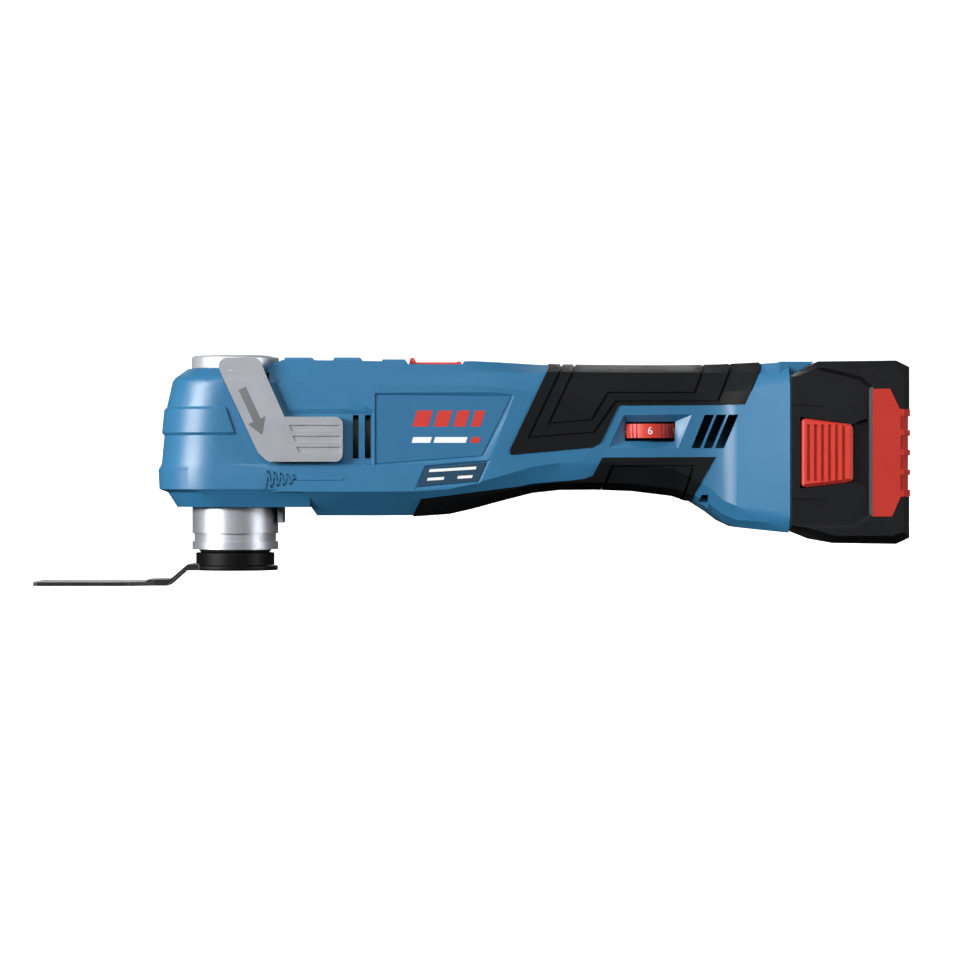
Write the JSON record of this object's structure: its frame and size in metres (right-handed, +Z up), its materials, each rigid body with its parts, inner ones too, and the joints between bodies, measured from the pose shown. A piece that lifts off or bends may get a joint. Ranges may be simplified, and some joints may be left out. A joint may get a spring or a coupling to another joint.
{
  "type": "oscillating multi tool",
  "caption": "Cordless oscillating multi tool with tool-change levers, plunge-cut blade, slide switch, speed dial and slide-on battery pack.",
  "frame": {"origin": "on the output spindle's axis at the tool holder's lower face", "axes": "+X from the blade back to the battery, +Y to the tool's right, +Z up along the spindle"},
  "size_m": [0.3679, 0.1176, 0.0983],
  "materials": {
    "casing": "fine satin texture",
    "grip": "matte soft grip",
    "plate": "satin",
    "badge": "satin",
    "steel_screw": "zinc plated",
    "diecast": "satin die cast",
    "cap": "satin",
    "bearing": "ground",
    "stator": "laminated",
    "copper": "enamelled wire",
    "damper": "matte",
    "shield": "matte",
    "shaft": "ground",
    "rotor": "laminated",
    "weight": "turned",
    "fan": "matte",
    "red": "satin",
    "black": "matte",
    "board": "satin",
    "sink": "extruded",
    "lens": "frosted",
    "blade": "black oxide",
    "case": "fine texture",
    "cells": "wrapped cell",
    "contact": "plated"
  },
  "bodies": {
    "tool_body": {"housing_left": "casing", "housing_right": "casing", "upper_grip_left": "grip", "upper_grip_right": "grip", "lower_grip_left": "grip", "lower_grip_right": "grip", "label_plate_left": "plate", "label_plate_right": "plate", "badge_left": "badge", "badge_right": "badge", "housing_screws": "steel_screw", "gear_housing": "diecast", "gear_housing_cap": "cap", "spindle_bearing_lower": "bearing", "spindle_bearing_upper": "bearing", "motor_stator": "stator", "motor_windings": "copper", "motor_front_shield": "shield", "vibration_damper_front": "damper", "vibration_damper_rear": "damper", "motor_bearing_front": "bearing", "motor_bearing_rear": "bearing", "motor_end_shield": "shield", "switch_module": "shield", "dial_potentiometer": "shield", "control_board": "board", "heat_sink": "sink", "terminal_block": "shield", "worklight_lens": "lens", "worklight_board": "board"},
    "lever": {"lever_arm_left": "diecast", "lever_arm_right": "diecast", "lever_camshaft": "shaft"},
    "push_rod": {"push_rod": "shaft"},
    "spindle": {"output_spindle": "shaft", "rocker_fork": "shaft", "tool_holder": "shaft", "clamp_springs": "bearing"},
    "jaw_front": {"clamp_jaw_front": "shaft"},
    "jaw_rear": {"clamp_jaw_rear": "shaft"},
    "blade": {"blade_hub": "blade", "saw_blade": "blade"},
    "rotor": {"motor_rotor": "rotor", "motor_shaft": "shaft", "eccentric_bearing": "bearing", "balance_weight": "weight", "cooling_fan": "fan"},
    "slider": {"on_off_slider": "red", "switch_rod": "shield"},
    "dial": {"speed_dial": "red"},
    "battery": {"battery_case": "case", "battery_bumper": "red", "battery_cells": "cells", "battery_board": "board", "battery_contacts": "contact"},
    "button": {"release_button": "red", "button_latch": "black"}
  },
  "joints": [
    {"name": "lever_swing", "type": "hinge", "parent": "tool_body", "child": "lever", "pos_m": [0, 0, 0.074], "axis": [0, 1, 0], "range_deg": [0, 78]},
    {"name": "rod_press", "type": "slide", "parent": "tool_body", "child": "push_rod", "axis": [0, 0, -1], "range_m": [0, 0.0013]},
    {"name": "spindle_swing", "type": "hinge", "parent": "tool_body", "child": "spindle", "pos_m": [0, 0, 0.01], "axis": [0, 0, 1], "range_deg": [-1.7, 1.7]},
    {"name": "jaw_front_grip", "type": "slide", "parent": "spindle", "child": "jaw_front", "axis": [1, 0, 0], "range_m": [0, 0.0012]},
    {"name": "jaw_rear_grip", "type": "slide", "parent": "spindle", "child": "jaw_rear", "axis": [-1, 0, 0], "range_m": [0, 0.0012]},
    {"name": "blade_release", "type": "slide", "parent": "spindle", "child": "blade", "axis": [0, 0, -1], "range_m": [0, 0.04]},
    {"name": "rotor_spin", "type": "hinge", "parent": "tool_body", "child": "rotor", "pos_m": [0.07, 0, 0.049], "axis": [1, 0, 0], "continuous": true},
    {"name": "switch_slide", "type": "slide", "parent": "tool_body", "child": "slider", "axis": [-1, 0, 0], "range_m": [0, 0.007]},
    {"name": "dial_turn", "type": "hinge", "parent": "tool_body", "child": "dial", "pos_m": [0.1767, -0.015, 0.0516], "axis": [0, 0, 1], "range_deg": [0, 300]},
    {"name": "battery_slide", "type": "slide", "parent": "tool_body", "child": "battery", "axis": [0, -1, 0], "range_m": [0, 0.11]},
    {"name": "button_press", "type": "slide", "parent": "battery", "child": "button", "axis": [0, 1, 0], "range_m": [0, 0.003], "stiffness_N_per_m": 800, "springref_m": -0.001}
  ],
  "couplings": [
    {"joint": "rod_press", "follows": "lever_swing", "m_per_rad": 0.000925},
    {"joint": "jaw_front_grip", "follows": "lever_swing", "m_per_rad": 0.000808},
    {"joint": "jaw_rear_grip", "follows": "lever_swing", "m_per_rad": 0.000808}
  ]
}
